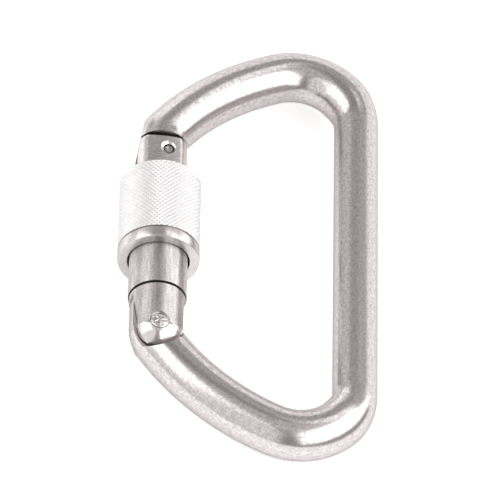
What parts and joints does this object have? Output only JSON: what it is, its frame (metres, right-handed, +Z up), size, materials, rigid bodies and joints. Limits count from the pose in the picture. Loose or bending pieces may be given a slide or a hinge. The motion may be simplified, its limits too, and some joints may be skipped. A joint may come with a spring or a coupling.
{
  "type": "locking carabiner",
  "caption": "Steel D-shaped carabiner with a sprung pin-latch gate and a knurled screw sleeve that locks it shut.",
  "frame": {"origin": "under the middle of the bounding box, level with the lowest point of the lock sleeve; the D's middle plane is 8.6 mm above it", "axes": "the carabiner lies flat: +X from the gate to the spine, +Y from the hinge end to the nose end along the gate and the spine, +Z up through the thickness"},
  "size_m": [0.0548, 0.108, 0.0172],
  "materials": {
    "bar_steel": "polished bright, fine satin grain in the dark reflections",
    "gate_steel": "turned and polished, matt milled flats on the nose",
    "pin_steel": "darker pin end, recessed in a bright countersink",
    "rivet_steel": "peened head with radial marks",
    "sleeve_steel": "bright fine diamond knurl over a smooth polished collar",
    "black_rubber": "matt",
    "ring_steel": "dark spring steel",
    "spring_steel": "drawn spring wire",
    "plunger_steel": "turned, smooth"
  },
  "bodies": {
    "frame": {"body": "bar_steel"},
    "gate": {"gate": "gate_steel", "latch_pin": "pin_steel", "hinge_rivet": "rivet_steel", "sleeve_stop_ring": "ring_steel", "return_spring": "spring_steel"},
    "plunger": {"spring_plunger": "plunger_steel"},
    "sleeve_ring": {"sleeve_friction_ring": "black_rubber"},
    "sleeve": {"lock_sleeve": "sleeve_steel"}
  },
  "joints": [
    {"name": "gate_hinge", "type": "hinge", "parent": "frame", "child": "gate", "pos_m": [-0.0188, -0.0267, 0.0086], "axis": [0, 0, -1], "range_deg": [0, 26], "stiffness_Nm_per_rad": 0.6, "springref_deg": -20.05},
    {"name": "plunger_slide", "type": "slide", "parent": "gate", "child": "plunger", "axis": [0, 1, 0], "range_m": [0, 0.00104], "deforming": ["return_spring"]},
    {"name": "sleeve_travel", "type": "slide", "parent": "gate", "child": "sleeve_ring", "axis": [0, 1, 0], "range_m": [0, 0.0108]},
    {"name": "sleeve_turn", "type": "hinge", "parent": "sleeve_ring", "child": "sleeve", "pos_m": [-0.0188, -0.0065, 0.0086], "axis": [0, 1, 0], "range_deg": [0, 1944.5]}
  ],
  "couplings": [
    {"joint": "plunger_slide", "follows": "gate_hinge", "m_per_rad": 0.00227},
    {"joint": "sleeve_turn", "follows": "sleeve_travel", "rad_per_m": 3141.6}
  ]
}
